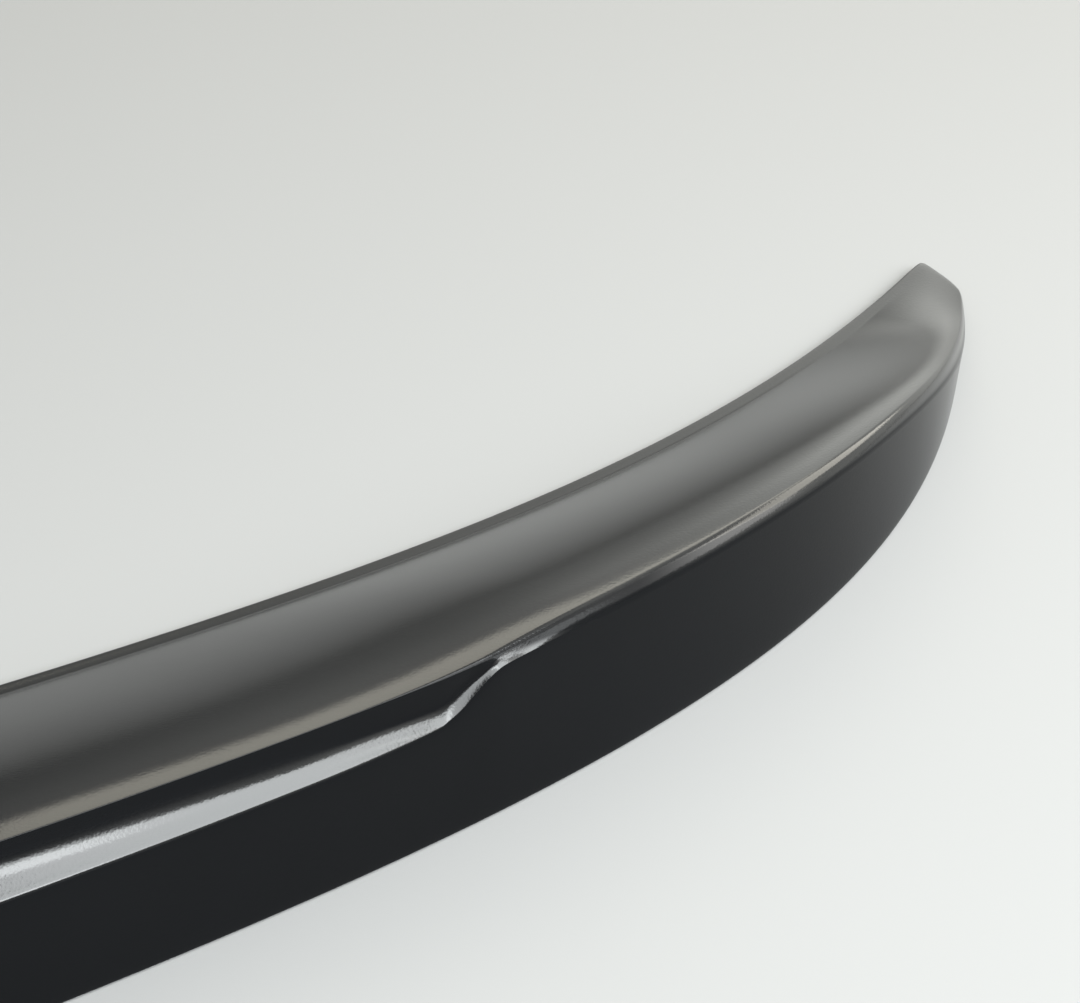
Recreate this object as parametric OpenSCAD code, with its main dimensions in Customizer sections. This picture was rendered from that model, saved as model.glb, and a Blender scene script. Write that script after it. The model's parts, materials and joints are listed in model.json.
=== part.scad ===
// Boot lid lip spoiler, one moulded shell with bonding tape in recesses under its two long edges.
// X runs along the spoiler, +Y points to the front of the car, +Z is up, and z = 0 is the bonding plane.

/* [Plan] */
// Half of the tip to tip length
half_span = 598.8; // [450:0.2:750]
// Distance from the rear edge to the leading edge on the centre line
centre_chord = 118.5; // [90:0.5:150]
// How far forward the rear edge is swept at the tips
tip_sweep = 180; // [150:1:210]
// Length of the blunt end at the tips
tip_chord = 23; // [16:0.5:30]
// How far the blunt end bulges outward
tip_bulge = 6; // [4:0.25:8]

/* [Heights] */
// Height of the crest on the centre line
crest_height = 48.3; // [44:0.1:54]
// How much lower the crest is at the notches than on the centre line
crest_crown = 1.2; // [0:0.1:3]
// Height of the crest just outboard of the notches
shoulder_height = 49.8; // [45:0.1:54]
// Height of the rear ledge on the centre line
ledge_height = 38.9; // [35:0.1:41]
// How much lower the ledge is at the notches than on the centre line
ledge_crown = 3.2; // [1:0.1:5]
// Height of the tips
tip_height = 7.5; // [6:0.5:10]
// Thickness of the thin lip along the leading edge
lip_height = 4.4; // [3.6:0.1:6]
// Width of that lip
lip_width = 6; // [4:0.25:9]

/* [Rear ledge] */
// Distance of the crest's rear edge from the rear face, on the centre line
crest_setback = 11.4; // [9.5:0.1:13]
// How much less that is at the notches than on the centre line
setback_fall = 5.2; // [3:0.1:6]
// Radius of the crest's rear edge along the ledge
crest_radius = 1; // [0.6:0.1:2]
// Radius of the crest outboard of the notches
shoulder_radius = 2.8; // [2:0.1:4]
// Upward slope of the ledge, in degrees
ledge_slope = 25; // [18:1:30]
// Backward lean of the riser between the ledge and the crest, in degrees
riser_lean = 12; // [6:1:18]
// Distance from the centre line to where the ledge starts to rise to the crest
notch_start_x = 325; // [260:1:330]
// Distance from the centre line to where that rise ends
notch_end_x = 346; // [340:1:360]
// Distance from the centre line to where the last of the ledge has run out into the rear face
ledge_end_x = 385; // [375:1:420]

/* [Shell] */
// Wall thickness
wall = 3; // [2.4:0.1:3.4]
// Width of the solid land behind the leading edge
front_land = 18; // [17:0.5:24]
// Width of the flange inside the rear face
rear_flange = 14; // [13:0.5:18]
// Distance from the tips to where the hollow starts to close
hollow_stop = 57; // [50:1:90]
// Thickness of the cross ribs
rib_thickness = 2; // [1.6:0.1:2.6]
// Distance between the cross ribs, along the rear edge
rib_pitch = 104; // [95:1:112]

/* [Bonding tape] */
// Thickness of the tape
tape_thickness = 1.1; // [0.8:0.1:1.4]
// Width of the tape
tape_width = 10; // [8:0.5:11]
// Gap between the shell's rim and the bonding plane
rim_gap = 0.3; // [0.2:0.05:0.5]
// Width of the rim that hides the tape from outside
rim_width = 3.2; // [2.6:0.1:3.6]

/* [Hidden] */

// How much further in the leading edge's end lies than the rear edge's
tip_skew = 2;
// Share of the rear curve that is used, so that its last stretch gives way to the rounded end
rear_share = 0.98;
// Control points of the two plan curves, each a cubic from the centre line to the tip
end_x = half_span - tip_bulge * 0.4;
full_rear_curve = [[0, 0], [end_x * 0.626, 0], [end_x * 0.8345, tip_sweep * 0.12], [end_x, tip_sweep]];
rear_curve = first_part(full_rear_curve, rear_share);
lead_curve = [[0, centre_chord], [end_x * 0.5154, centre_chord], [end_x * 0.7345, centre_chord * 0.934],
    [end_x - tip_skew, tip_sweep + tip_chord]];

// Small radius on the rim's outer corners
corner = 0.8;
// How far the rear face leans forward over its height along the ledge
face_lean = 0.8;
// How far it leans outboard of the notches
shoulder_lean = 3.2;
// How far it leans at the tips, where it flares outward instead
tip_flare = -1.8;
// Slant facet below the crest outboard of the notches: its width forward, its drop and its normal's rise
facet_run = 1.7;
facet_drop = 2.1;
facet_tilt = 40;
// How far before and after the notch the crest changes its place and height
blend_before = 35;
blend_after = 30;
// Share of the half span's curve over which the hollow closes
hollow_runout = 0.06;
// Number of points on each part of a section
ledge_points = 7;
crest_points = 7;
top_points = 11;
inner_points = 7;

function clamp01(k) = min(max(k, 0), 1);
function ease(k) = let (c = clamp01(k)) c * c * (3 - 2 * c);
function mix(a, b, k) = a + (b - a) * k;
function cubic(p, t) = pow(1 - t, 3) * p[0] + 3 * pow(1 - t, 2) * t * p[1]
    + 3 * (1 - t) * t * t * p[2] + pow(t, 3) * p[3];
// The control points of the first part of a cubic
function first_part(p, t) = let (a = mix(p[0], p[1], t), b = mix(p[1], p[2], t))
    [p[0], a, mix(a, b, t), cubic(p, t)];

// Chord of the section at t, from the rear edge to the leading edge
function chord(t) = norm(cubic(lead_curve, t) - cubic(rear_curve, t));

// The curve parameter whose rear point lies at a distance x from the centre line, by halving
function t_at_x(x, lo = 0, hi = 1, n = 20) = let (half = (lo + hi) / 2)
    n == 0 ? half
    : cubic(rear_curve, half)[0] < x ? t_at_x(x, half, hi, n - 1)
    : t_at_x(x, lo, half, n - 1);
notch_start = t_at_x(notch_start_x);
notch_end = t_at_x(notch_end_x);
ledge_end = t_at_x(ledge_end_x);
hollow_end = t_at_x(half_span - hollow_stop);

// 1 along the ledge, 0 outboard of the notch
function notched(t) = 1 - ease((t - notch_start) / (notch_end - notch_start));

// The same for the crest, which changes over a longer way
blend_start = t_at_x(notch_start_x - blend_before);
blend_end = t_at_x(notch_end_x + blend_after);
function set_back(t) = 1 - ease((t - blend_start) / (blend_end - blend_start));

// Heights of the crest: a low crown over the ledge, then a long fall to the tip
function outer_crest(t) = let (u = clamp01((t - notch_end) / (1 - notch_end)))
    tip_height + (shoulder_height - tip_height) * pow(1 - pow(u, 2.75), 1.5);
function crowned(height, crown, t) = height - crown * pow(cubic(rear_curve, t)[0] / notch_start_x, 2);
function crest_at(t) = mix(outer_crest(t), crowned(crest_height, crest_crown, t), set_back(t));

// The outer profile in (distance forward of the rear edge, height), from the rear rim over the crest to the lip
function outer_profile(t) =
    let (
        c = chord(t),
        narrow = min(1, c / 50),
        high = crest_at(t),
        low = min(1, high / 20),
        open = notched(t),
        back = set_back(t),
        crisp = 1 - ease((t - notch_end) / (ledge_end - notch_end)),
        r = min(mix(shoulder_radius, crest_radius, back), high * 0.3, c * 0.2),
        lean = mix(mix(shoulder_lean, face_lean, back), tip_flare, ease((t - 0.7) / 0.3)),
        tilt = mix(facet_tilt, riser_lean, back),
        riser_x = mix(lean + facet_run * low, crowned(crest_setback, setback_fall, t), back),
        centre = [riser_x + r * cos(tilt), high - r],
        riser = centre + r * [-cos(tilt), sin(tilt)],
        // along the ledge the edge, a gently rising shelf, an inner corner and the riser
        shelf_edge = [lean, crowned(ledge_height, ledge_crown, t)],
        g = tan(ledge_slope),
        w = tan(riser_lean),
        kx = (riser[0] - (riser[1] - shelf_edge[1]) * w - g * w * shelf_edge[0]) / (1 - g * w),
        shelf_knee = [kx, shelf_edge[1] + (kx - shelf_edge[0]) * g],
        // outboard only the facet, whose lower edge softens and runs out
        facet_edge = [lean, riser[1] - facet_drop * low],
        facet_knee = mix(facet_edge, riser, 0.4 * crisp),
        edge = mix(facet_edge - [0, 2 * low * (1 - crisp)], shelf_edge, open),
        knee = mix(facet_knee, shelf_knee, open),
        knee_a = mix(edge, knee, 0.8),
        knee_b = mix(riser, knee, 0.72),
        // the top: level at the crest, then steeper and steeper down to the lip
        top_start = [centre[0], high],
        lip = [c - lip_width * narrow, min(lip_height, high * 0.62)],
        run = lip[0] - top_start[0],
        fall = high - lip[1],
        top_a = top_start + [run * 0.19, 0],
        top_b = lip + [-run * 0.4, fall * 0.5]
    )
    concat(
        [[corner * 2, rim_gap], [corner * 0.3, rim_gap + corner * 0.3], [0, rim_gap + corner]],
        [[lean * 0.5, edge[1] * 0.5]],
        [for (i = [0 : ledge_points - 1]) cubic([edge, knee_a, knee_b, riser], i / ledge_points)],
        [for (i = [0 : crest_points - 1]) let (a = mix(tilt, 90, i / crest_points))
            centre + r * [-cos(a), sin(a)]],
        [for (i = [0 : top_points - 1]) cubic([top_start, top_a, top_b, lip], i / top_points)],
        [lip, [c - 1.6 * narrow, lip[1] - 0.5], [c - 0.5, lip[1] - 1], [c, lip[1] - 1.9]],
        [[c, rim_gap + corner], [c - corner * 0.3, rim_gap + corner * 0.3], [c - corner * 2, rim_gap]]
    );

// The inner profile, from the front land over the hollow to the rear rim.
// solid is 0 where the hollow is whole and 1 where it has closed, and the flange goes first.
function inner_profile(t, solid = 0) =
    let (
        flange = mix(rear_flange, wall + 1.5, clamp01(solid * 4)),
        c = chord(t),
        outer = outer_profile(t),
        first_top = 4 + ledge_points + crest_points,
        land = [c - front_land, tape_thickness],
        // the underside of the skin, straight down from chosen points of the top by the wall's slant thickness
        skin = [for (i = [0 : inner_points - 1])
            let (
                q = mix(c - front_land, outer[4 + ledge_points][0] + wall + 2.2, pow(i / (inner_points - 1), 0.8)),
                at = [for (j = [first_top : first_top + top_points]) if (outer[j][0] <= q) j],
                a = outer[at[len(at) - 1]],
                b = outer[at[len(at) - 1] + 1],
                s = (b[1] - a[1]) / (b[0] - a[0])
            )
            [q, a[1] + (q - a[0]) * s - wall * sqrt(1 + s * s)]],
        knee = outer[4 + floor(ledge_points / 2)],
        edge = outer[4],
        riser = outer[4 + ledge_points],
        high_inside = [riser[0] + wall + 0.6, skin[inner_points - 1][1] - 0.4]
    )
    concat(
        [land],
        skin,
        [high_inside, [knee[0] + wall * 0.95, knee[1] - wall * 0.6], [edge[0] + wall, edge[1] - wall]],
        [[wall, tape_thickness + 2.4], [flange, tape_thickness + 2.4], [flange, tape_thickness],
            [rim_width, tape_thickness], [rim_width, rim_gap]]
    );

// The closed ring of a section: outer profile, front recess, hollow and rear recess.
// Towards the tips the hollow and the recesses run out into a flat underside.
function ring(t) =
    let (
        c = chord(t),
        outer = outer_profile(t),
        solid = ease((t - hollow_end) / hollow_runout),
        inner = concat([[c - rim_width, rim_gap], [c - rim_width, tape_thickness]],
            inner_profile(min(t, hollow_end + hollow_runout), solid)),
        n = len(inner)
    )
    concat(
        outer,
        [for (i = [0 : n - 1])
            mix(inner[i], [mix(c - 3 * corner, 3 * corner, (i + 1) / (n + 1)), rim_gap], solid)]
    );
ring_size = len(ring(0));

// Where the sections stand along the half span's curve: wide apart where it is even, close at the notch and the tip
half_stations = concat(
    [for (i = [0 : 9]) blend_start * i / 10],
    [for (i = [0 : 3]) mix(blend_start, notch_start, i / 4)],
    [for (i = [0 : 9]) mix(notch_start, notch_end, i / 10)],
    [for (i = [0 : 4]) mix(notch_end, ledge_end, i / 5)],
    [for (i = [0 : 18]) mix(ledge_end, 1, i / 18)]
);

// A section's points in space. side is 1 on the right and -1 on the left.
function placed(profile, t, side) =
    let (
        rear = cubic(rear_curve, t),
        lead = cubic(lead_curve, t),
        forward = (lead - rear) / norm(lead - rear)
    )
    [for (p = profile) let (xy = rear + forward * p[0]) [side * xy[0], xy[1], p[1]]];

// The rounded end past the last section: copies of it that shrink along a quarter circle
tip_mid = (cubic(rear_curve, 1) + cubic(lead_curve, 1)) / 2;
tip_way = (cubic(rear_curve, 1) - cubic(rear_curve, 0.99)) / norm(cubic(rear_curve, 1) - cubic(rear_curve, 0.99))
    + (cubic(lead_curve, 1) - cubic(lead_curve, 0.99)) / norm(cubic(lead_curve, 1) - cubic(lead_curve, 0.99));
tip_angles = [30, 52, 70, 83];
function tip_section(angle, side) =
    let (way = tip_way / norm(tip_way) * tip_bulge * sin(angle))
    [for (p = placed(ring(1), 1, 1))
        [side * (mix(tip_mid[0], p[0], cos(angle)) + way[0]),
            mix(tip_mid[1], p[1], cos(angle)) + way[1],
            mix(tip_height * 0.35, p[2], mix(1, cos(angle), 0.8))]];

n_half = len(half_stations);
right_half = concat(
    [for (t = half_stations) placed(ring(t), t, 1)],
    [for (a = tip_angles) tip_section(a, 1)]
);
left_half = concat(
    [for (i = [len(tip_angles) - 1 : -1 : 0]) tip_section(tip_angles[i], -1)],
    [for (i = [n_half - 1 : -1 : 1]) placed(ring(half_stations[i]), half_stations[i], -1)]
);
sections = concat(left_half, right_half);
depth = max([for (s = sections) for (p = s) p[1]]);

// The middle of a section, from which its end cap fans out
function middle(section) = let (box = [for (k = [0 : 2]) [for (p = section) p[k]]])
    [for (k = [0 : 2]) (min(box[k]) + max(box[k])) / 2];

// Joins the sections into one closed skin, with a fan of triangles over each end.
// Each four-cornered field is split the other way from its neighbours.
module loft(sections) {
    m = len(sections[0]);
    n = len(sections);
    points = concat([for (s = sections) for (p = s) p], [middle(sections[0]), middle(sections[n - 1])]);
    sides = [for (i = [0 : n - 2]) for (j = [0 : m - 1])
        let (a = i * m + j, b = i * m + (j + 1) % m)
        each (i + j) % 2 == 0 ? [[a, b + m, a + m], [a, b, b + m]] : [[a, b, a + m], [b, b + m, a + m]]];
    left_cap = [for (j = [0 : m - 1]) [n * m, (j + 1) % m, j]];
    right_cap = [for (j = [0 : m - 1]) [n * m + 1, (n - 1) * m + j, (n - 1) * m + (j + 1) % m]];
    polyhedron(points, concat(sides, left_cap, right_cap));
}

// A cross rib that closes the hollow at t
module rib(t, side) {
    outer = outer_profile(t);
    inner = inner_profile(t);
    rear = cubic(rear_curve, t);
    lead = cubic(lead_curve, t);
    turn = atan2(lead[1] - rear[1], lead[0] - rear[0]);
    n = inner_points;
    // the hollow's outline, grown into the walls by less than their thickness
    grow = wall * 0.4;
    outline = concat(
        [[inner[0][0] + grow, tape_thickness + 1.2]],
        [for (i = [1 : n]) inner[i] + [i == 1 ? grow : 0, grow]],
        [inner[n + 1] + [-grow, grow * 0.5], inner[n + 2] + [-grow, grow * 0.3], inner[n + 3] + [-grow, 0],
            [wall - grow, tape_thickness + 1.2]]
    );
    translate([side * rear[0], rear[1], 0])
        rotate([0, 0, side > 0 ? turn : 180 - turn])
        rotate([90, 0, 0])
        translate([0, 0, -rib_thickness / 2])
        linear_extrude(height = rib_thickness)
        polygon(outline);
}

// Length of the rear edge from the centre line to t, in short straight steps
function arc_to(t, steps = 40) = let (p = [for (i = [0 : steps]) cubic(rear_curve, t * i / steps)])
    sum([for (i = [1 : steps]) norm(p[i] - p[i - 1])]);
function sum(v, i = 0) = i == len(v) ? 0 : v[i] + sum(v, i + 1);
function t_at_arc(s, lo = 0, hi = 1, n = 14) = let (half = (lo + hi) / 2)
    n == 0 ? half
    : arc_to(half) < s ? t_at_arc(s, half, hi, n - 1)
    : t_at_arc(s, lo, half, n - 1);
rib_count = floor((arc_to(hollow_end) - 20) / rib_pitch);

module spoiler_shell() {
    color([0.05, 0.05, 0.055])
    translate([0, -depth / 2, 0])
    union() {
        loft(sections);
        rib(0, 1);
        for (i = [1 : rib_count])
            for (side = [-1, 1])
                rib(t_at_arc(i * rib_pitch), side);
    }
}

// A strip of tape between two lines that run along the plan curves.
// from_front: measured from the leading edge, otherwise from the rear edge.
tape_steps = 14;
module tape(t_from, t_to, near, from_front) {
    line = [for (q = [near, near + tape_width])
        [for (i = [0 : tape_steps])
            let (
                t = mix(t_from, t_to, i / tape_steps),
                side = sign(t + 0.00001),
                rear = cubic(rear_curve, abs(t)),
                lead = cubic(lead_curve, abs(t)),
                forward = (lead - rear) / norm(lead - rear),
                p = from_front ? lead - forward * q : rear + forward * q
            )
            [side * p[0], p[1]]]];
    color([0.16, 0.16, 0.17])
    translate([0, -depth / 2, 0])
    linear_extrude(height = tape_thickness)
    polygon(concat(line[0], [for (i = [tape_steps : -1 : 0]) line[1][i]]));
}

// Play between the tape and the rim, and where the strips meet and end on the plan curves
tape_play = 0.4;
tape_inset = rim_width + tape_play;
tape_joint = 0.30;
tape_gap = 0.003;
tape_stop = 0.01;
tape_end = hollow_end - tape_stop;

module front_tape_left() { tape(-tape_end, -tape_joint - tape_gap, tape_inset, true); }
module front_tape_centre() { tape(-tape_joint, tape_joint, tape_inset, true); }
module front_tape_right() { tape(tape_joint + tape_gap, tape_end, tape_inset, true); }
module rear_tape_left() { tape(-tape_end, -tape_joint - tape_gap, tape_inset, false); }
module rear_tape_centre() { tape(-tape_joint, tape_joint, tape_inset, false); }
module rear_tape_right() { tape(tape_joint + tape_gap, tape_end, tape_inset, false); }

spoiler_shell();
front_tape_left();
front_tape_centre();
front_tape_right();
rear_tape_left();
rear_tape_centre();
rear_tape_right();
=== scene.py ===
"""Looks of the boot lid lip spoiler: gloss black paint outside, raw moulding inside, foam tape below."""

import json
import math

import bpy
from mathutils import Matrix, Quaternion, Vector

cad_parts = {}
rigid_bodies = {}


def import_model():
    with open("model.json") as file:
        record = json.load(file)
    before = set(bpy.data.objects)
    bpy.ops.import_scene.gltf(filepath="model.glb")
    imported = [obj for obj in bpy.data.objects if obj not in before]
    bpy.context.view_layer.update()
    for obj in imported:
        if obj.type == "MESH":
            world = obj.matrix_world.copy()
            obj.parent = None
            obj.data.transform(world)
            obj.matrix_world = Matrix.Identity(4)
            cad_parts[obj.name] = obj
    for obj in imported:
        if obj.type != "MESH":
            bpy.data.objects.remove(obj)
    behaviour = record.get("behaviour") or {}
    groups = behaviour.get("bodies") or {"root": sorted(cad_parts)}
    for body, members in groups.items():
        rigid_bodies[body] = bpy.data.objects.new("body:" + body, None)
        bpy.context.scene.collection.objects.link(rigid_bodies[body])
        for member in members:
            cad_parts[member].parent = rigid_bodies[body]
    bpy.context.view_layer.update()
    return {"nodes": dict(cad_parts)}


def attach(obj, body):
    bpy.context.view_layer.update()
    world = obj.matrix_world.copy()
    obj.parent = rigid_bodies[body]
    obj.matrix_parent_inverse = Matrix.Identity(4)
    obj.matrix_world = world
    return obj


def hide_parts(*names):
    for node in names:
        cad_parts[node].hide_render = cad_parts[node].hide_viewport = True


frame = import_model()
SHELL = frame["nodes"]["spoiler_shell"]
TAPES = ("front_tape_left", "front_tape_centre", "front_tape_right",
         "rear_tape_left", "rear_tape_centre", "rear_tape_right")

# Material slots of the moulding
PAINTED, RAW = 0, 1
# The rim's flat underside lies under this height, and the leading edge's lip under the other
RIM_UNDERSIDE = 0.00035
LIP_TOP = 0.0075
# Points of the CAD mesh that are nearer than this are one point
SAME_POINT = 0.000002

# Refractive indices of the paint and of the clear coat over it
PAINT_IOR = 1.225
COAT_IOR = 1.5

# The room's brightness: how far to the right a direction points, and the factor on the room's colour
ROOM_FALL = ((0.05, 1.05), (0.2, 1.5), (0.36, 2.7), (0.5, 4.4), (0.7, 3.0))
# The spoiler's notch, which the lamps are turned to
LAMP_TARGET = (0.33, -0.07, 0.04)
# The cool white of the lamps behind, and the side's, the tip's and the front's warmer whites
COOL_WHITE = (0.95, 0.99, 1.0)
SIDE_WHITE = (1.0, 0.99, 0.97)
TIP_WHITE = (1.0, 0.96, 0.85)
FRONT_WHITE = (1.0, 0.96, 0.82)
# Side of the square floor, and how far it lies under the tape so that the two don't coincide
FLOOR_SIDE = 16
FLOOR_GAP = 0.0002

bl_info = {
    "name": "Boot lid lip spoiler",
    "version": (1, 0, 0),
    "blender": (4, 5, 0),
    "location": "View3D > Sidebar > Spoiler",
    "description": "Dresses the lip spoiler's moulding and bonding tape, and sets the studio round it",
    "category": "Object",
}


class SpoilerShellSettings(bpy.types.PropertyGroup):
    """Sizes and colours of the painted moulding."""

    paint_colour: bpy.props.FloatVectorProperty(
        name="Paint colour", description="Colour of the gloss paint outside",
        subtype="COLOR", size=3, min=0, max=1, default=(0.003, 0.0034, 0.0042))
    paint_roughness: bpy.props.FloatProperty(
        name="Paint roughness", description="Blur of the paint's reflections",
        subtype="FACTOR", min=0, max=1, default=0.15)
    peel_size: bpy.props.FloatProperty(
        name="Orange peel size", description="Distance between the paint's tiny waves",
        unit="LENGTH", min=0.0005, max=0.01, default=0.0007)
    peel_depth: bpy.props.FloatProperty(
        name="Orange peel depth", description="Depth of the paint's tiny waves",
        unit="LENGTH", min=0, max=0.0002, default=0.000026)
    raw_colour: bpy.props.FloatVectorProperty(
        name="Raw colour", description="Colour of the unpainted moulding inside",
        subtype="COLOR", size=3, min=0, max=1, default=(0.022, 0.022, 0.023))
    ledge_bevel: bpy.props.FloatProperty(
        name="Ledge edge width", description="Width of the broken edge along the rear ledge",
        unit="LENGTH", min=0.0001, max=0.002, default=0.0006)
    shelf_height: bpy.props.FloatProperty(
        name="Shelf height", description="Height of the shelf that the notch keeps",
        unit="LENGTH", min=0.0005, max=0.01, default=0.0036)
    notch_depth: bpy.props.FloatProperty(
        name="Notch depth", description="How far the shelf is pressed in at the notch",
        unit="LENGTH", min=0, max=0.003, default=0.0016)
    notch_top: bpy.props.FloatProperty(
        name="Notch top", description="Height at which the notch meets the crest",
        unit="LENGTH", min=0.03, max=0.06, default=0.0474)
    notch_rise: bpy.props.FloatVectorProperty(
        name="Notch rise", description="Where the deeper shelf starts and is full, from the middle",
        unit="LENGTH", size=2, min=0, max=0.6, default=(0.285, 0.318))
    notch_fall: bpy.props.FloatVectorProperty(
        name="Notch fall", description="Where the deeper shelf thins out and ends",
        unit="LENGTH", size=2, min=0, max=0.6, default=(0.338, 0.350))
    crest_cut: bpy.props.FloatProperty(
        name="Crest cut", description="How much smaller the crest's rounding is over the ledge",
        unit="LENGTH", min=0, max=0.001, default=0.0007)
    tip_start: bpy.props.FloatProperty(
        name="Tip start", description="Where edges stop being kept crisp, from the middle",
        unit="LENGTH", min=0, max=0.7, default=0.588)
    smoothing: bpy.props.IntProperty(
        name="Smoothing", description="Levels of subdivision on the moulding",
        min=0, max=2, default=2)


class SpoilerTapeSettings(bpy.types.PropertyGroup):
    """Looks of the bonding tape."""

    foam_colour: bpy.props.FloatVectorProperty(
        name="Foam colour", description="Colour of the foam tape",
        subtype="COLOR", size=3, min=0, max=1, default=(0.075, 0.076, 0.08))
    cell_size: bpy.props.FloatProperty(
        name="Cell size", description="Size of the foam's cells",
        unit="LENGTH", min=0.0001, max=0.002, default=0.0005)


class SpoilerStudioSettings(bpy.types.PropertyGroup):
    """Floor, lights and camera."""

    floor_colour: bpy.props.FloatVectorProperty(
        name="Floor colour", description="Colour of the floor",
        subtype="COLOR", size=3, min=0, max=1, default=(0.365, 0.366, 0.368))
    room_colour: bpy.props.FloatVectorProperty(
        name="Room colour", description="Colour of the room's light, which is brighter to the right",
        subtype="COLOR", size=3, min=0, max=1, default=(0.338, 0.342, 0.325))
    ledge_power: bpy.props.FloatProperty(
        name="Ledge power", description="Brightness of the two lamps that the ledge and its far end mirror",
        min=0, default=8.8)
    notch_power: bpy.props.FloatProperty(
        name="Notch power", description="Brightness of the lamp behind the notch, which its shelf mirrors",
        min=0, default=5.8)
    side_power: bpy.props.FloatProperty(
        name="Side power", description="Brightness of the lamp beyond the right tip",
        min=0, default=2.6)
    tip_power: bpy.props.FloatProperty(
        name="Tip power", description="Brightness of the lamp to the right, which the tip's crest mirrors",
        min=0, default=3.4)
    front_power: bpy.props.FloatProperty(
        name="Front power", description="Brightness of the wide lamp ahead, which the crest mirrors",
        min=0, default=2.2)
    lens: bpy.props.FloatProperty(
        name="Lens", description="Focal length of the camera", unit="CAMERA", min=1, default=70.0)


class Value:
    """A socket of a material that can stand in a Python expression."""

    def __init__(self, finish, socket):
        self.finish = finish
        self.socket = socket

    def join(self, operation, first, second):
        return self.finish.node(
            "ShaderNodeMath", {"operation": operation}, {0: first, 1: second})["Value"]

    def __add__(self, other):
        return self.join("ADD", self, other)

    def __radd__(self, other):
        return self.join("ADD", other, self)

    def __mul__(self, other):
        return self.join("MULTIPLY", self, other)


def set_stops(colour_ramp, stops):
    """Puts colours at their places along a colour ramp, which starts with two stops of its own."""
    elements = colour_ramp.elements
    for count, (at, colour) in enumerate(stops):
        stop = elements[count] if count < 2 else elements.new(at)
        stop.position = at
        stop.color = colour


class Finish:
    """A material that is built from nodes."""

    def __init__(self, name):
        self.material = bpy.data.materials.new(name)
        self.material.use_nodes = True
        self.tree = self.material.node_tree
        self.tree.nodes.clear()

    def node(self, kind, settings=None, sockets=None):
        """Adds a node with its settings and socket values, and returns its outputs by name."""
        made = self.tree.nodes.new(kind)
        for name, value in (settings or {}).items():
            if name == "stops":
                set_stops(made.color_ramp, value)
            else:
                setattr(made, name, value)
        for key, value in (sockets or {}).items():
            if isinstance(value, Value):
                self.tree.links.new(value.socket, made.inputs[key])
            else:
                made.inputs[key].default_value = value
        return {socket.name: Value(self, socket) for socket in made.outputs if socket.enabled}

    def surface(self, shader):
        """Ends the material in its shader."""
        self.node("ShaderNodeOutputMaterial", {}, {"Surface": shader})
        return self.material


def scaled(colour, factor):
    """A colour made brighter or darker, and opaque."""
    return (colour[0] * factor, colour[1] * factor, colour[2] * factor, 1.0)


def gloss_paint(settings):
    """Gloss paint with a faint orange peel and haze, under a clear coat that lies where it gathered."""
    paint = Finish("gloss_paint")
    place = paint.node("ShaderNodeTexCoord")["Object"]
    peel = paint.node("ShaderNodeTexNoise", {}, {
        "Vector": place, "Scale": 1 / settings.peel_size, "Detail": 1.5, "Roughness": 0.45})["Fac"]
    wave = paint.node("ShaderNodeTexNoise", {}, {
        "Vector": place, "Scale": 55.0, "Detail": 1.0, "Roughness": 0.4})["Fac"]
    haze = paint.node("ShaderNodeTexNoise", {}, {
        "Vector": place, "Scale": 11.0, "Detail": 3.0, "Roughness": 0.55})["Fac"]
    tint = paint.node("ShaderNodeValToRGB", {"stops": [
        (0.3, scaled(settings.paint_colour, 0.9)), (0.7, scaled(settings.paint_colour, 1.12))]},
        {"Fac": haze})["Color"]
    height = peel + wave * 0.8
    normal = paint.node("ShaderNodeBump", {}, {
        "Strength": 1.0, "Distance": settings.peel_depth, "Height": height})["Normal"]
    rough = settings.paint_roughness * 0.8 + haze * (settings.paint_roughness * 0.4)
    gathered = paint.node("ShaderNodeAttribute", {"attribute_name": "coat"})["Fac"]
    shader = paint.node("ShaderNodeBsdfPrincipled", {}, {
        "Base Color": tint, "Roughness": rough, "IOR": PAINT_IOR, "Normal": normal,
        "Coat Weight": gathered, "Coat Roughness": settings.paint_roughness, "Coat IOR": COAT_IOR,
        "Coat Normal": normal})["BSDF"]
    return paint.surface(shader)


def raw_moulding(settings):
    """The dull grained plastic inside the moulding, with faint flow marks."""
    raw = Finish("raw_moulding")
    place = raw.node("ShaderNodeTexCoord")["Object"]
    grain = raw.node("ShaderNodeTexNoise", {}, {
        "Vector": place, "Scale": 1400.0, "Detail": 2.0, "Roughness": 0.6})["Fac"]
    drawn_out = raw.node("ShaderNodeMapping", {}, {"Vector": place, "Scale": (6.0, 40.0, 40.0)})["Vector"]
    flow = raw.node("ShaderNodeTexNoise", {}, {
        "Vector": drawn_out, "Scale": 1.0, "Detail": 4.0, "Roughness": 0.6})["Fac"]
    tint = raw.node("ShaderNodeValToRGB", {"stops": [
        (0.3, scaled(settings.raw_colour, 0.75)), (0.7, scaled(settings.raw_colour, 1.35))]},
        {"Fac": flow})["Color"]
    normal = raw.node("ShaderNodeBump", {}, {
        "Strength": 0.7, "Distance": 0.00006, "Height": grain})["Normal"]
    shader = raw.node("ShaderNodeBsdfPrincipled", {}, {
        "Base Color": tint, "Roughness": 0.42 + flow * 0.2, "IOR": 1.5, "Normal": normal})["BSDF"]
    return raw.surface(shader)


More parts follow.
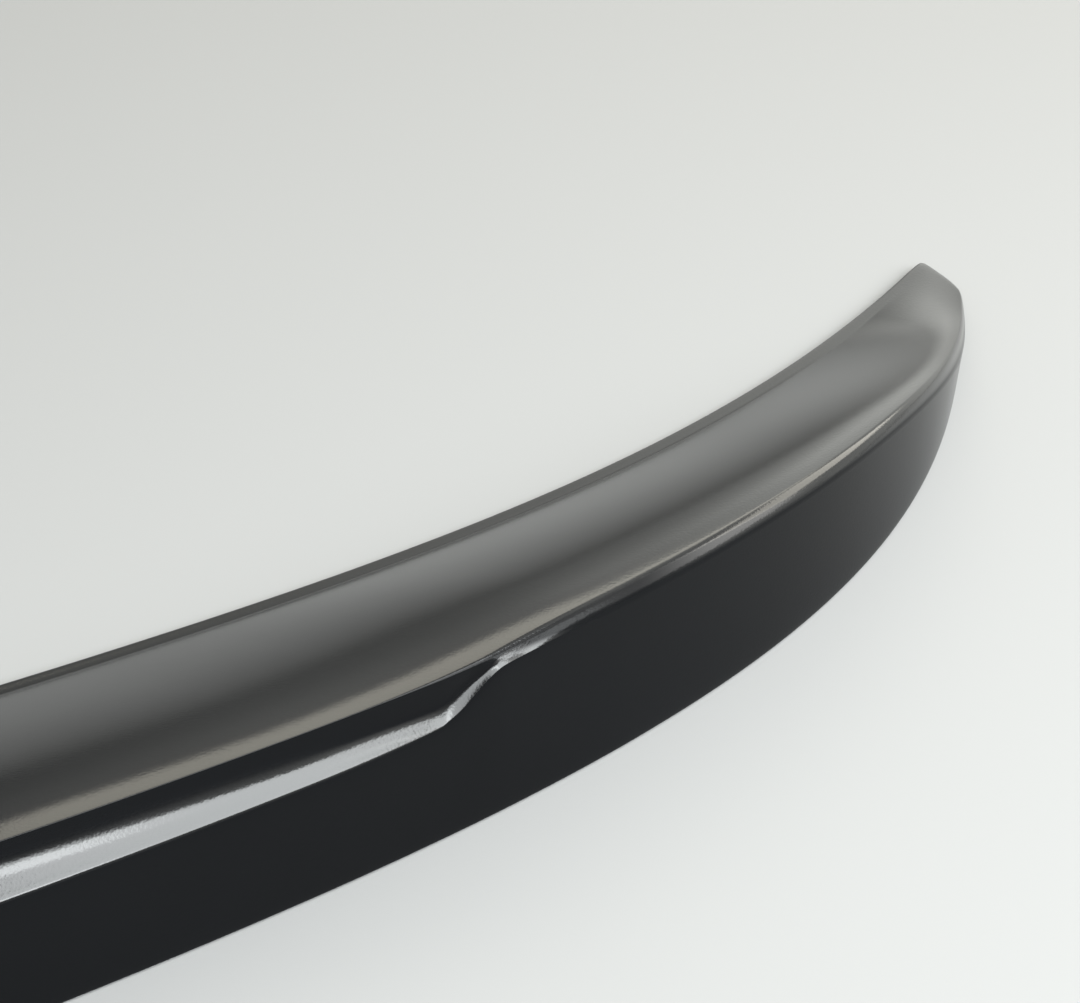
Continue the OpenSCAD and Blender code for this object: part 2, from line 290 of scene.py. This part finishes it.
def foam_tape(settings):
    """Closed-cell foam, slightly mottled."""
    foam = Finish("foam_tape")
    place = foam.node("ShaderNodeTexCoord")["Object"]
    cells = foam.node("ShaderNodeTexVoronoi", {}, {
        "Vector": place, "Scale": 1 / settings.cell_size})["Distance"]
    mottle = foam.node("ShaderNodeTexNoise", {}, {
        "Vector": place, "Scale": 260.0, "Detail": 3.0, "Roughness": 0.6})["Fac"]
    tint = foam.node("ShaderNodeValToRGB", {"stops": [
        (0.3, scaled(settings.foam_colour, 0.8)), (0.7, scaled(settings.foam_colour, 1.25))]},
        {"Fac": mottle})["Color"]
    normal = foam.node("ShaderNodeBump", {}, {
        "Strength": 0.8, "Distance": 0.00012, "Height": cells})["Normal"]
    shader = foam.node("ShaderNodeBsdfPrincipled", {}, {
        "Base Color": tint, "Roughness": 0.8 + mottle * 0.15, "IOR": 1.45, "Normal": normal})["BSDF"]
    return foam.surface(shader)


def only(piece):
    """Makes one object the selected and active one."""
    bpy.ops.object.select_all(action="DESELECT")
    bpy.context.view_layer.objects.active = piece
    piece.select_set(True)


def choose(piece, kind, test):
    """Selects, from object mode, the faces or edges that pass a test, and goes to edit mode."""
    bpy.ops.object.mode_set(mode="EDIT")
    bpy.ops.mesh.select_mode(type="FACE" if kind == "faces" else "EDGE")
    bpy.ops.mesh.select_all(action="DESELECT")
    bpy.ops.object.mode_set(mode="OBJECT")
    items = piece.data.polygons if kind == "faces" else piece.data.edges
    chosen = [item for item in items if test(item)]
    for item in chosen:
        item.select = True
    bpy.ops.object.mode_set(mode="EDIT")


def choose_line(piece, start):
    """Selects the whole line of edges that one edge belongs to, and stays in edit mode."""
    choose(piece, "edges", lambda edge: edge.index == start)
    bpy.ops.mesh.loop_multi_select(ring=False)


def edit_all(tool, **settings):
    """Uses one tool of edit mode on the whole of the active mesh."""
    bpy.ops.object.mode_set(mode="EDIT")
    bpy.ops.mesh.select_all(action="SELECT")
    tool(**settings)
    bpy.ops.object.mode_set(mode="OBJECT")


def fold_angles(mesh):
    """The angle between the two faces at each edge, and those faces' normals."""
    beside = {}
    for face in mesh.polygons:
        for key in face.edge_keys:
            beside.setdefault(key, []).append(face.normal)
    folds = {}
    for key, normals in beside.items():
        if len(normals) == 2:
            folds[key] = (normals[0].angle(normals[1], 0.0), normals)
    return folds


def mark_outer_skin(piece):
    """Gives the raw moulding's slot to every face that the rim's flat underside parts from the top."""
    choose(piece, "faces", lambda face: max(
        piece.data.vertices[i].co.z for i in face.vertices) < RIM_UNDERSIDE)
    bpy.ops.mesh.hide(unselected=False)
    bpy.ops.object.mode_set(mode="OBJECT")
    top = max(piece.data.polygons, key=lambda face: face.center.z).index
    choose(piece, "faces", lambda face: face.index == top)
    bpy.ops.mesh.select_linked()
    bpy.ops.object.mode_set(mode="OBJECT")
    outer = set(face.index for face in piece.data.polygons if face.select)
    bpy.ops.object.mode_set(mode="EDIT")
    bpy.ops.mesh.reveal(select=False)
    bpy.ops.object.mode_set(mode="OBJECT")
    for face in piece.data.polygons:
        face.material_index = PAINTED if face.index in outer else RAW


def outer_points(piece):
    """The numbers of the points of the painted skin."""
    skin = set()
    for face in piece.data.polygons:
        if face.material_index == PAINTED:
            skin.update(face.vertices)
    return skin


def find_ledge(piece):
    """Finds one of the ledge's edges at the spoiler's middle, and the points of its line's right half."""
    folds = fold_angles(piece.data)
    mesh = piece.data
    # A ledge edge runs along X, near the middle and high up, is sharp, and is the rearmost of such edges
    least_run = 0.8
    middle_reach = 0.05
    lowest = 0.03
    least_fold = math.radians(45)
    ahead_of_all = 1.0

    def rearmost(edge):
        a, b = (mesh.vertices[i].co for i in edge.vertices)
        middle = (a + b) / 2
        lengthwise = abs(a.x - b.x) > least_run * (a - b).length
        fold = folds.get(tuple(sorted(edge.vertices)), (0.0, None))[0]
        if not lengthwise or abs(middle.x) > middle_reach or middle.z < lowest or fold < least_fold:
            return ahead_of_all
        return middle.y

    start = min(mesh.edges, key=rearmost).index
    choose_line(piece, start)
    bpy.ops.object.mode_set(mode="OBJECT")
    line = sorted(tuple(point.co) for point in piece.data.vertices if point.select and point.co.x > 0)
    return start, line


def line_height(line, x):
    """The height of a line of points at one place along the car's width."""
    for (x0, _, z0), (x1, _, z1) in zip(line, line[1:]):
        if x0 <= x <= x1:
            return z0 + (z1 - z0) * (x - x0) / (x1 - x0)
    return line[0][2] if x < line[0][0] else line[-1][2]


def ramp(value, start, end):
    """Rises smoothly from 0 to 1 between two values."""
    share = min(1.0, max(0.0, (value - start) / (end - start)))
    return share * share * (3 - 2 * share)


def hollow_notch(piece, line, settings):
    """Presses the shelf deeper where its edge climbs, so that it keeps its width up to the crest."""
    # Only points behind this are pressed, the lower slope takes at most this share of the height that
    # there is, and the press is at most this share of that slope's height deep
    rear = -0.07
    most_room = 0.45
    steepest = 0.4
    for index in outer_points(piece):
        point = piece.data.vertices[index].co
        x = abs(point.x)
        depth = ramp(x, *settings.notch_rise) * (1 - ramp(x, *settings.notch_fall))
        edge = line_height(line, x)
        rise = point.z - edge
        room = settings.notch_top - edge
        if depth == 0 or not 0 < rise < room or point.y > rear:
            continue
        bend = min(settings.shelf_height, most_room * room)
        share = rise / bend if rise < bend else (room - rise) / (room - bend)
        point.y += min(settings.notch_depth, steepest * bend) * depth * share


def sharpen_crest(piece, settings):
    """Tightens the rounding of the crest over the ledge, by sliding it out along both its sides."""
    # Heights, and backward shares of a point's normal, between which the tightening sets in
    crest_rise = (0.0440, 0.0460)
    rearward = (0.0, 0.2)
    slides = []
    for index in outer_points(piece):
        vertex = piece.data.vertices[index]
        normal = vertex.normal
        near = 1 - ramp(abs(vertex.co.x), *settings.notch_fall)
        near *= ramp(vertex.co.z, *crest_rise) * ramp(-normal.y, *rearward)
        slides.append((vertex, settings.crest_cut * near * Vector((0, -1 - normal.y, 1 - normal.z))))
    for vertex, slide in slides:
        vertex.co += slide


def break_ledge_edge(piece, start, width):
    """Bevels the long edge of the rear ledge, from tip to tip."""
    choose_line(piece, start)
    bpy.ops.mesh.bevel(offset=width, segments=1, profile=0.5, affect="EDGES")
    bpy.ops.object.mode_set(mode="OBJECT")


def gather_coat(piece, line, settings):
    """Says where the clear coat lies thick: on the crest and in the ledge, but not on steep faces."""
    # Upward shares of a normal, on slopes and on level faces, and its forward share, between which
    # a weight changes
    sloping, level, forward = (0.32, 0.55), (0.80, 0.93), (0.18, 0.38)
    # Distances from the middle between which a weight changes
    notch_end = settings.notch_fall[1]
    ledge_end = 0.385
    crest_spread = (ledge_end, 0.42)
    strip_start = (notch_end - 0.006, notch_end + 0.003)
    strip_stop = (0.38, 0.40)
    outer_start, outer_stop = (0.46, 0.53), (0.55, 0.58)
    # All under this height belongs to the ledge, and so does what rises this little over its edge
    ledge_top, edge_rise = 0.0462, 0.0022
    # The strip's width at the notch, how much of it is lost at the ledge's end, and its solid share
    strip_width, strip_loss, strip_solid = 0.0020, 0.0014, 0.3
    # Weight of the coat that lies on the outer part's front
    outer_weight = 0.35
    weights = []
    for point in piece.data.vertices:
        x = abs(point.co.x)
        rise = point.co.z - line_height(line, x)
        plain = ramp(point.normal.z, *sloping)
        flat = ramp(point.normal.z, *level)
        crest = flat + (plain - flat) * ramp(x, *crest_spread)
        ledge = plain if point.co.z < ledge_top or rise < edge_rise else 0.0
        width = strip_width - strip_loss * ramp(x, notch_end, ledge_end)
        strip = plain * (1 - ramp(rise, strip_solid * width, width)) * (1 - ramp(x, *strip_stop))
        outer = outer_weight * ramp(x, *outer_start) * (1 - ramp(x, *outer_stop))
        behind = max(outer, 1 - ramp(point.normal.y, *forward))
        weights.append(behind * max(crest, ledge + (strip - ledge) * ramp(x, *strip_start)))
    layer = piece.data.attributes.new("coat", "FLOAT", "POINT")
    layer.data.foreach_set("value", weights)


def crease(piece, tip_start):
    """Keeps all of the inside and the sharp edges crisp under the smoothing, but lets the tips go round."""
    # Least fold and level share of the leading lip's edge and its weight, and the folds, in degrees,
    # from which any edge starts to be kept and is kept whole
    lip_fold = math.radians(12)
    lip_level = 0.97
    lip_weight = 0.75
    soft_fold, crisp_fold = 42, 62
    mesh = piece.data
    folds = fold_angles(mesh)
    inside = set()
    for face in mesh.polygons:
        if face.material_index == RAW:
            inside.update(face.edge_keys)
    weights = []
    for edge in mesh.edges:
        key = tuple(sorted(edge.vertices))
        fold, normals = folds.get(key, (0.0, None))
        height = max(mesh.vertices[i].co.z for i in edge.vertices)
        reach = min(abs(mesh.vertices[i].co.x) for i in edge.vertices)
        if key in inside:
            weights.append(1.0)
        elif reach > tip_start:
            weights.append(0.0)
        elif height < LIP_TOP and fold > lip_fold and max(n.z for n in normals) > lip_level:
            weights.append(lip_weight)
        else:
            share = (math.degrees(fold) - soft_fold) / (crisp_fold - soft_fold)
            weights.append(min(1.0, max(0.0, share)))
    layer = mesh.attributes.get("crease_edge") or mesh.attributes.new("crease_edge", "FLOAT", "EDGE")
    layer.data.foreach_set("value", weights)


class OBJECT_OT_spoiler_shell(bpy.types.Operator):
    """Makes the smooth painted moulding from a merged copy of the CAD shell"""

    bl_idname = "object.spoiler_shell"
    bl_label = "Painted moulding"

    def execute(self, context):
        settings = context.scene.spoiler_shell
        only(SHELL)
        bpy.ops.object.duplicate()
        piece = context.view_layer.objects.active
        for key in list(piece.keys()):
            if key.startswith("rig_"):
                del piece[key]
        piece.parent = None
        piece.name = "painted_moulding"
        piece.data.name = "painted_moulding"
        piece.data.materials.clear()
        piece.data.materials.append(gloss_paint(settings))
        piece.data.materials.append(raw_moulding(settings))
        edit_all(bpy.ops.mesh.remove_doubles, threshold=SAME_POINT)
        mark_outer_skin(piece)
        edit_all(bpy.ops.mesh.tris_convert_to_quads, face_threshold=math.radians(50),
                 shape_threshold=math.radians(170), materials=True)
        start, line = find_ledge(piece)
        hollow_notch(piece, line, settings)
        sharpen_crest(piece, settings)
        break_ledge_edge(piece, start, settings.ledge_bevel)
        crease(piece, settings.tip_start)
        if settings.smoothing:
            smooth = piece.modifiers.new("smooth", "SUBSURF")
            smooth.levels = settings.smoothing
            smooth.render_levels = settings.smoothing
            bpy.ops.object.modifier_apply(modifier=smooth.name)
        gather_coat(piece, line, settings)
        bpy.ops.object.shade_smooth_by_angle(angle=math.radians(32))
        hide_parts("spoiler_shell")
        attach(piece, "root")
        return {"FINISHED"}


class OBJECT_OT_spoiler_tape(bpy.types.Operator):
    """Gives the six strips of bonding tape their foam"""

    bl_idname = "object.spoiler_tape"
    bl_label = "Bonding tape"

    def execute(self, context):
        foam = foam_tape(context.scene.spoiler_tape)
        for name in TAPES:
            strip = frame["nodes"][name]
            strip.data.materials.clear()
            strip.data.materials.append(foam)
        return {"FINISHED"}


def lamp(name, place, size, radiance, colour, roll=0):
    """A soft rectangular lamp of a given brightness, turned to the notch and unseen itself."""
    data = bpy.data.lights.new(name, "AREA")
    data.shape = "RECTANGLE"
    data.size, data.size_y = size
    data.energy = radiance * math.pi * size[0] * size[1]
    data.color = colour
    lit = bpy.data.objects.new(name, data)
    bpy.context.scene.collection.objects.link(lit)
    lit.location = place
    aim = (Vector(LAMP_TARGET) - Vector(place)).to_track_quat("-Z", "Y")
    lit.rotation_euler = (aim @ Quaternion((0, 0, 1), math.radians(roll))).to_euler()
    lit.visible_camera = False


def lay_floor(settings):
    """A wide matt floor, faintly clouded, just under the tape."""
    bpy.ops.object.select_all(action="DESELECT")
    bpy.ops.mesh.primitive_plane_add(size=FLOOR_SIDE, location=(0.3, 0.0, -FLOOR_GAP))
    floor = bpy.context.view_layer.objects.active
    floor.name = "floor"
    bpy.ops.object.transform_apply(location=True, rotation=True, scale=True)
    chalk = Finish("floor")
    place = chalk.node("ShaderNodeTexCoord")["Object"]
    cloud = chalk.node("ShaderNodeTexNoise", {}, {"Vector": place, "Scale": 1.5, "Detail": 2.0})["Fac"]
    tint = chalk.node("ShaderNodeValToRGB", {"stops": [
        (0.3, scaled(settings.floor_colour, 0.995)), (0.7, scaled(settings.floor_colour, 1.0))]},
        {"Fac": cloud})["Color"]
    shader = chalk.node("ShaderNodeBsdfPrincipled", {}, {
        "Base Color": tint, "Roughness": 0.9, "Specular IOR Level": 0.0})["BSDF"]
    floor.data.materials.append(chalk.surface(shader))


def light_room(scene, settings):
    """The room's light: even to the left, and brightest about halfway to the right."""
    world = bpy.data.worlds.new("room")
    world.use_nodes = True
    air = world.node_tree
    way = air.nodes.new("ShaderNodeTexCoord")
    split = air.nodes.new("ShaderNodeSeparateXYZ")
    fall = air.nodes.new("ShaderNodeValToRGB")
    air.links.new(way.outputs["Generated"], split.inputs["Vector"])
    air.links.new(split.outputs["X"], fall.inputs["Fac"])
    set_stops(fall.color_ramp, [(at, scaled(settings.room_colour, factor)) for at, factor in ROOM_FALL])
    air.links.new(fall.outputs["Color"], air.nodes["Background"].inputs["Color"])
    scene.world = world


def light_lamps(settings):
    """The six lamps that the gloss paint mirrors."""
    lamp("ledge_lamp", (0.665, -0.82, 1.04), (0.66, 1.24), settings.ledge_power, COOL_WHITE, -18)
    lamp("notch_lamp", (0.26, -1.06, 0.73), (0.52, 0.66), settings.notch_power, COOL_WHITE)
    lamp("side_lamp", (1.46, -0.71, 0.83), (0.75, 1.1), settings.side_power, SIDE_WHITE)
    lamp("strip_lamp", (1.13, -1.0, 0.58), (0.26, 0.34), settings.ledge_power, COOL_WHITE)
    lamp("tip_lamp", (1.57, 0.06, 0.70), (1.1, 0.62), settings.tip_power, TIP_WHITE)
    lamp("front_lamp", (0.89, 1.09, 1.156), (1.4, 0.75), settings.front_power, FRONT_WHITE)


def set_camera(scene, settings):
    """The camera, behind and above the spoiler and turned towards its right tip, as in the photograph."""
    data = bpy.data.cameras.new("camera")
    data.lens = settings.lens
    data.sensor_width = 36
    data.sensor_fit = "HORIZONTAL"
    camera = bpy.data.objects.new("camera", data)
    scene.collection.objects.link(camera)
    camera.location = (0.18026, -0.4367, 0.38)
    camera.rotation_euler = (math.radians(54), 0.0, math.radians(-26))
    scene.camera = camera
    scene.view_settings.view_transform = "Standard"


class OBJECT_OT_spoiler_studio(bpy.types.Operator):
    """Sets the floor, the lamps, the room's light and the camera"""

    bl_idname = "object.spoiler_studio"
    bl_label = "Studio"

    def execute(self, context):
        scene = context.scene
        lay_floor(scene.spoiler_studio)
        light_room(scene, scene.spoiler_studio)
        light_lamps(scene.spoiler_studio)
        set_camera(scene, scene.spoiler_studio)
        return {"FINISHED"}


class VIEW3D_PT_spoiler(bpy.types.Panel):
    """The spoiler's pieces and their sizes and colours"""

    bl_label = "Spoiler"
    bl_space_type = "VIEW_3D"
    bl_region_type = "UI"
    bl_category = "Spoiler"

    def draw(self, context):
        scene = context.scene
        for operator, settings in (("object.spoiler_shell", scene.spoiler_shell),
                                   ("object.spoiler_tape", scene.spoiler_tape),
                                   ("object.spoiler_studio", scene.spoiler_studio)):
            box = self.layout.box()
            box.operator(operator)
            for name in settings.bl_rna.properties.keys():
                if name not in ("rna_type", "name"):
                    box.prop(settings, name)


CLASSES = (SpoilerShellSettings, SpoilerTapeSettings, SpoilerStudioSettings, OBJECT_OT_spoiler_shell,
           OBJECT_OT_spoiler_tape, OBJECT_OT_spoiler_studio, VIEW3D_PT_spoiler)


def register():
    for kind in CLASSES:
        bpy.utils.register_class(kind)
    bpy.types.Scene.spoiler_shell = bpy.props.PointerProperty(type=SpoilerShellSettings)
    bpy.types.Scene.spoiler_tape = bpy.props.PointerProperty(type=SpoilerTapeSettings)
    bpy.types.Scene.spoiler_studio = bpy.props.PointerProperty(type=SpoilerStudioSettings)


def unregister():
    del bpy.types.Scene.spoiler_studio
    del bpy.types.Scene.spoiler_tape
    del bpy.types.Scene.spoiler_shell
    for kind in reversed(CLASSES):
        bpy.utils.unregister_class(kind)


def main():
    register()
    bpy.ops.object.spoiler_studio()
    bpy.ops.object.spoiler_shell()
    bpy.ops.object.spoiler_tape()
    bpy.context.view_layer.update()


if __name__ == "__main__":
    main()
